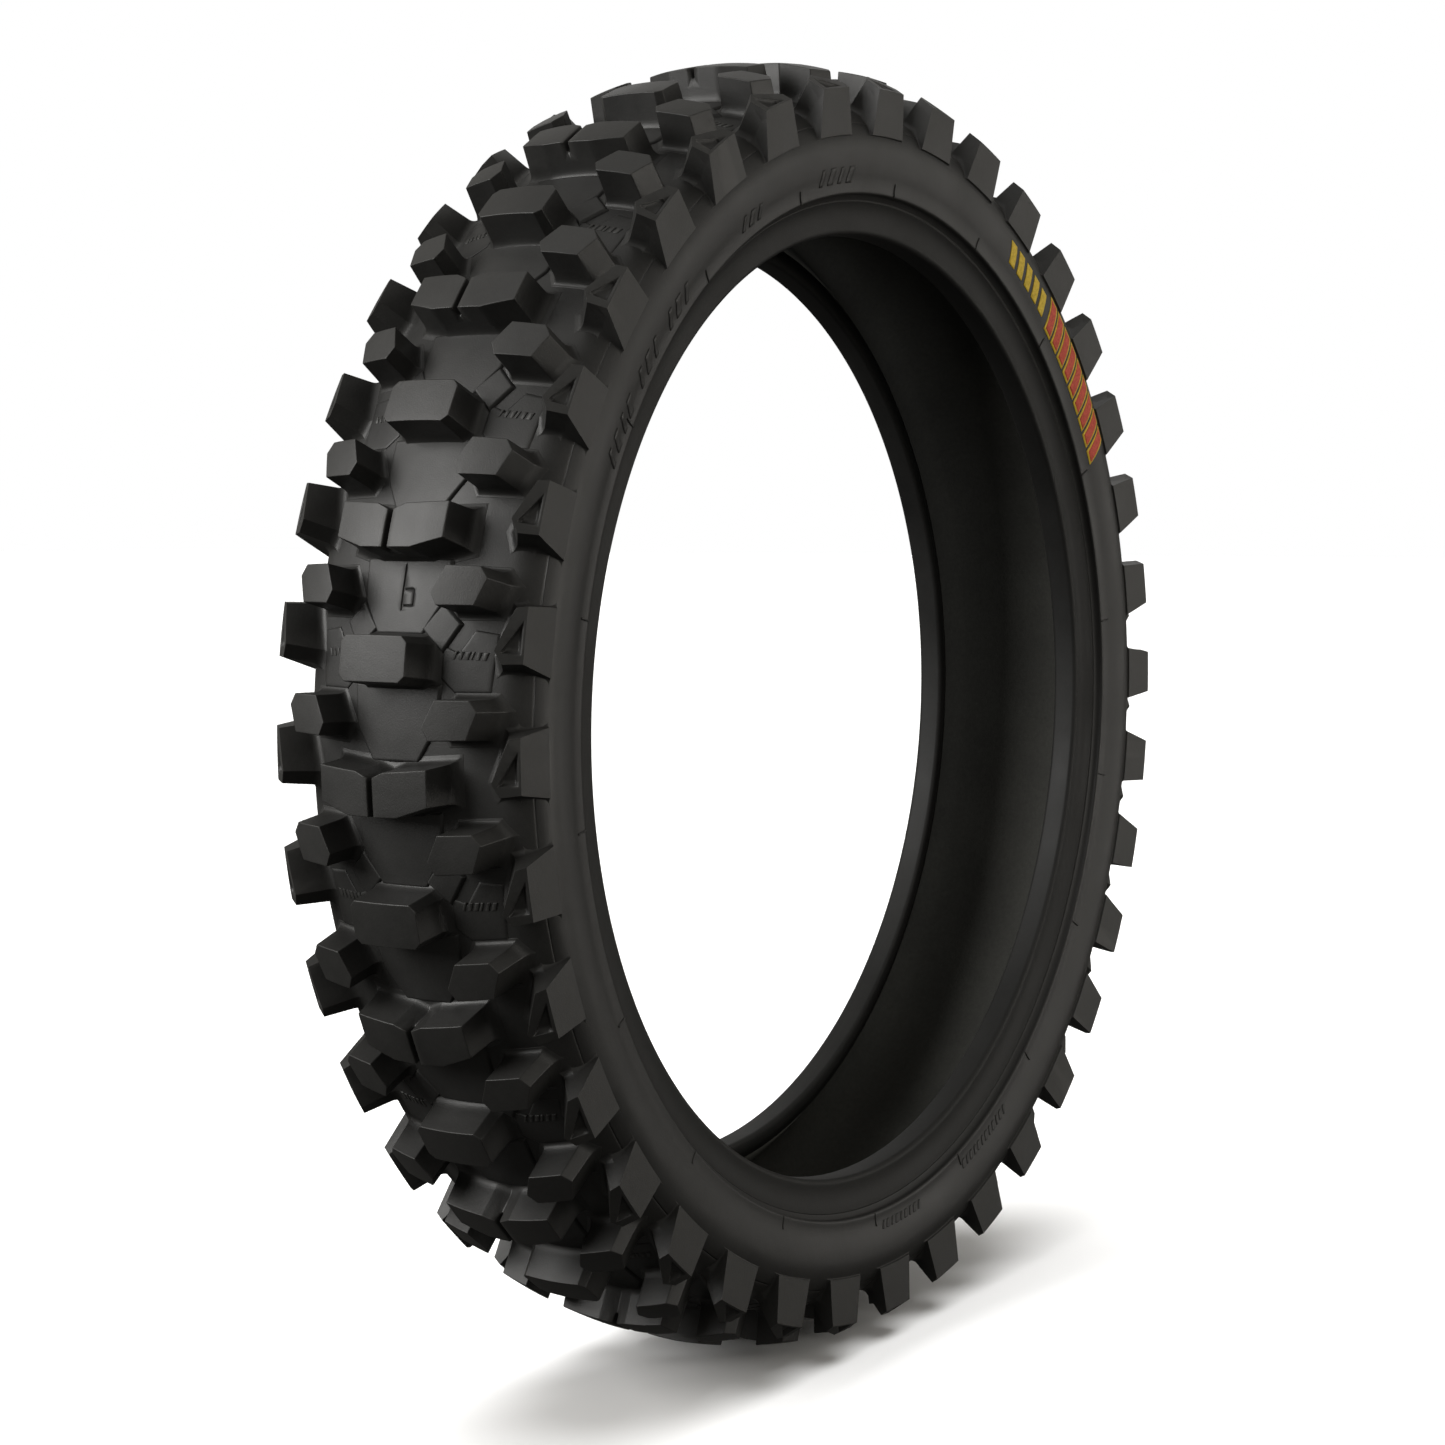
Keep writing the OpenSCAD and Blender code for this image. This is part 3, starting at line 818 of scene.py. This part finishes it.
def make_chafer(side, word):
    heel_r = 2.8
    heel = moved(arc((BEAD_HALF - heel_r, BEAD_R + heel_r), heel_r, 84, 180, 10), 0)
    bulge = []
    start, middle, end = RIM_LINE, (52.2, BEAD_R + 11.5), heel[0]
    for i in range(1, 13):
        u = i / 12
        weights = ((1 - u) ** 2, 2 * u * (1 - u), u * u)
        bulge.append(tuple(weights[0] * a + weights[1] * b + weights[2] * c
                           for a, b, c in zip(start, middle, end)))
    toe_y = BEAD_HALF - 13
    toe = [(toe_y + 0.6, BEAD_R), (toe_y - 0.4, BEAD_R + 0.25), (toe_y - 1.2, BEAD_R + 1),
           (toe_y - 1.6, BEAD_R + 2.4), (toe_y - 1.7, BEAD_R + 4)]
    outline = ([start] + bulge + heel[1:] + toe + moved(IN_BEAD[:1], -LINER_T) + moved(IN_BEAD, 0)
               + [(52.5, CASING_R - 55.5)])
    outline = [(side * y, r) for y, r in outline]
    ring("chafer_" + word + "_strip", outline, CHAFER, ["chafer_" + word])


def make_liner():
    def half(d):
        return moved(IN_CROWN, d) + moved(IN_SHOULDER, d)[1:] + moved(IN_BEAD[:1], d)
    outline = both_sides(half(0)) + both_sides(half(-LINER_T))[::-1]
    ring("inner_liner_skin", outline, LINER, ["inner_liner"])


# ---- marks and labels on the sidewall ----

def patch(grid_point, columns, rows):
    """A closed thin plate: grid_point(u, v, upper) gives its (y, r, angle) at u, v from 0 to 1."""
    points, faces = [], []
    for upper in (True, False):
        for i in range(columns + 1):
            for j in range(rows + 1):
                y, r, angle = grid_point(i / columns, j / rows, upper)
                points.append((y, math.radians(angle) * TREAD_R, r))
    def index(i, j, upper):
        return (0 if upper else (columns + 1) * (rows + 1)) + i * (rows + 1) + j
    for i in range(columns):
        for j in range(rows):
            faces.append([index(i, j, True), index(i + 1, j, True), index(i + 1, j + 1, True),
                          index(i, j + 1, True)])
            faces.append([index(i, j, False), index(i, j + 1, False), index(i + 1, j + 1, False),
                          index(i + 1, j, False)])
    for i in range(columns):
        faces.append([index(i, 0, False), index(i + 1, 0, False), index(i + 1, 0, True), index(i, 0, True)])
        faces.append([index(i, rows, True), index(i + 1, rows, True), index(i + 1, rows, False),
                      index(i, rows, False)])
    for j in range(rows):
        faces.append([index(0, j, True), index(0, j + 1, True), index(0, j + 1, False), index(0, j, False)])
        faces.append([index(columns, j, False), index(columns, j + 1, False), index(columns, j + 1, True),
                      index(columns, j, True)])
    return np.array(points), faces


def sidewall_height(r):
    """Sideways place of the sidewall's surface at radius r."""
    return float(np.interp(r, SIDE_CURVE[:, 1], SIDE_CURVE[:, 0]))


SIDE_CURVE = np.array(sorted(moved(OUT_SIDE, 0) + moved(OUT_LOWER, 0) + flange()[:-4], key=lambda p: p[1]))


def rib(angle, width, r0, r1, height, lean=0.0):
    """A moulded rib on the sidewall, width round the tyre in degrees, leaning by lean degrees at its top."""
    def at(u, v, upper):
        r = r0 + (r1 - r0) * v
        edge = 0.0 if upper else 0.06
        place = angle + (u - 0.5) * (width + 2 * edge) + lean * v
        return sidewall_height(r) + (height if upper else -0.4), r, place
    return patch(at, 2, 6)


def hatch(start, count, pitch, r0, r1):
    """A group of slanted ribs that stands where a tyre carries its moulded size."""
    return [rib(start + pitch * i, pitch * (0.34 + 0.2 * (i % 2)), r0, r1, 0.45, lean=0.5)
            for i in range(count)]


def sidewall_marks():
    shapes = [rib(11.8 + PITCH * k, 0.16, CASING_R - 50.5, CASING_R - 44.0, 0.5) for k in range(PITCHES)]
    low = CASING_R - 46.5
    shapes += hatch(27.0, 4, 1.9, low, low + 9)
    shapes += hatch(36.0, 3, 1.9, low, low + 9)
    shapes += hatch(43.5, 3, 1.9, low, low + 9)
    shapes += hatch(60.0, 3, 1.6, low + 1, low + 8)
    shapes += hatch(76.0, 4, 1.9, low + 1, low + 9)
    shapes += hatch(-120.0, 12, 1.0, low + 1, low + 5)
    shapes += hatch(-98.0, 9, 1.0, low + 1, low + 5)
    return joined(shapes)


def draped_bar(tree, start, sweep, r0, r1, lean, low, high):
    """A slanted bar of paint that lies on whatever surface is outermost under it."""
    def at(u, v, upper):
        r = r0 + (r1 - r0) * v
        angle = start + sweep * u + lean * v
        a = math.radians(angle)
        origin = Vector((-r * math.cos(a), 120, r * math.sin(a))) * MM
        hit = tree.ray_cast(origin, Vector((0, -1, 0)))[0]
        return hit.y / MM + (high if upper else low), r, angle
    return patch(at, 10, 16)


def label_shapes(tree):
    """Yellow bars, the yellow borders of the red bars, and the red bars."""
    yellow = [draped_bar(tree, 118.9 + 2.2 * i, 1.4, 272.5, 283.5, -1.1, -0.2, 0.3) for i in range(5)]
    starts = [130.6 + 2.35 * i for i in range(9)]
    borders = [draped_bar(tree, a, 1.95, 270.5, 288.0, -1.5, -0.2, 0.25) for a in starts]
    red = [draped_bar(tree, a + 0.25, 1.45, 271.7, 286.8, -1.5, -0.2, 0.4) for a in starts]
    return joined(yellow), joined(borders), joined(red)


# ---- the build ----

make_tread_cap()
make_liner()
lights_only(softbox("inside", (-0.6, -0.78, -0.1), 2.0, (1.0, 0.35), 7), bpy.data.objects["inner_liner_skin"])
for side, word in ((1, "left"), (-1, "right")):
    make_sidewall(side, word)
    make_chafer(side, word)

plain = crown_block(PLAIN_OUTLINE)
split = crown_block(SPLIT_OUTLINE, [slit_cutter()])
intermediate = crown_block(INTERMEDIATE_OUTLINE, flare=STEEP_FLARE, fillet=STEEP_FILLET)
shoulder = shoulder_block()
wide = plate(WIDE_PLATFORM, PLATFORM_H)
marked = plate(WIDE_PLATFORM, PLATFORM_H, cutters=insert_mark())
bars = slanted_bars(count=6, y0=28, y1=44, t0=0.6, t1=4.2, lean=1.2, height=0.35)
outer = joined([plate(OUTER_PLATFORM, OUTER_H), plate(TIE_BAR, TIE_H)] + bars)

keep_flats(round_tyre("plain_centre_knobs", plain, PLAIN_ROWS, TREAD,
                      ["centre_blocks_plain"]))
keep_flats(round_tyre("split_centre_knobs", split, SPLIT_ROWS, TREAD,
                      ["centre_blocks_split"]))
unmarked = [a + PITCH / 4 for a in ROWS if a != MARKED_ROW]
keep_flats(round_tyre("groove_floor_centre", wide, unmarked, FLOOR_RUBBER,
                      ["groove_platforms_centre"]))
keep_flats(round_tyre("groove_floor_marked", marked, [MARKED_ROW + PITCH / 4], FLOOR_RUBBER))

intermediate_at = [a + PITCH / 4 + 0.4 for a in ROWS]
shoulder_at = [a + 1.8 for a in ROWS]
marks = sidewall_marks()
for side, word in ((1, "left"), (-1, "right")):
    keep_flats(round_tyre("intermediate_knobs_" + word, intermediate, intermediate_at, TREAD,
                          ["intermediate_blocks_" + word], side))
    keep_flats(round_tyre("shoulder_knobs_" + word, shoulder, shoulder_at, TREAD,
                          ["shoulder_blocks_" + word], side))
    keep_flats(round_tyre("groove_floor_" + word, outer, PLAIN_ROWS, FLOOR_RUBBER,
                          ["groove_platforms_" + word], side))
    keep_flats(round_tyre("sidewall_ribs_" + word, marks, [0], SIDEWALL, (), side))

under_label = [bpy.data.objects[n].data for n in ("sidewall_left_skin", "shoulder_knobs_left")]
merged = bmesh.new()
for mesh in under_label:
    merged.from_mesh(mesh)
tree = BVHTree.FromBMesh(merged)
merged.free()
yellow, borders, red = label_shapes(tree)
for side, word in ((1, "left"), (-1, "right")):
    round_tyre("yellow_bars_" + word, yellow, [0], YELLOW, ["label_yellow_" + word], side)
    round_tyre("red_bar_borders_" + word, borders, [0], YELLOW, (), side)
    round_tyre("red_bars_" + word, red, [0], RED, ["label_red_" + word], side)

inner_materials = {"under_tread": BASE, "breaker_ply": CORD, "body_ply_outer": CORD, "body_ply_inner": CORD}
for word in ("left", "right"):
    inner_materials["bead_filler_" + word] = BASE
    inner_materials["bead_rubber_" + word] = BASE
    inner_materials["bead_wires_" + word] = WIRE
for node, material in inner_materials.items():
    slots = frame["nodes"][node].data.materials
    slots.clear()
    slots.append(material)

bpy.context.scene.view_settings.view_transform = "Standard"
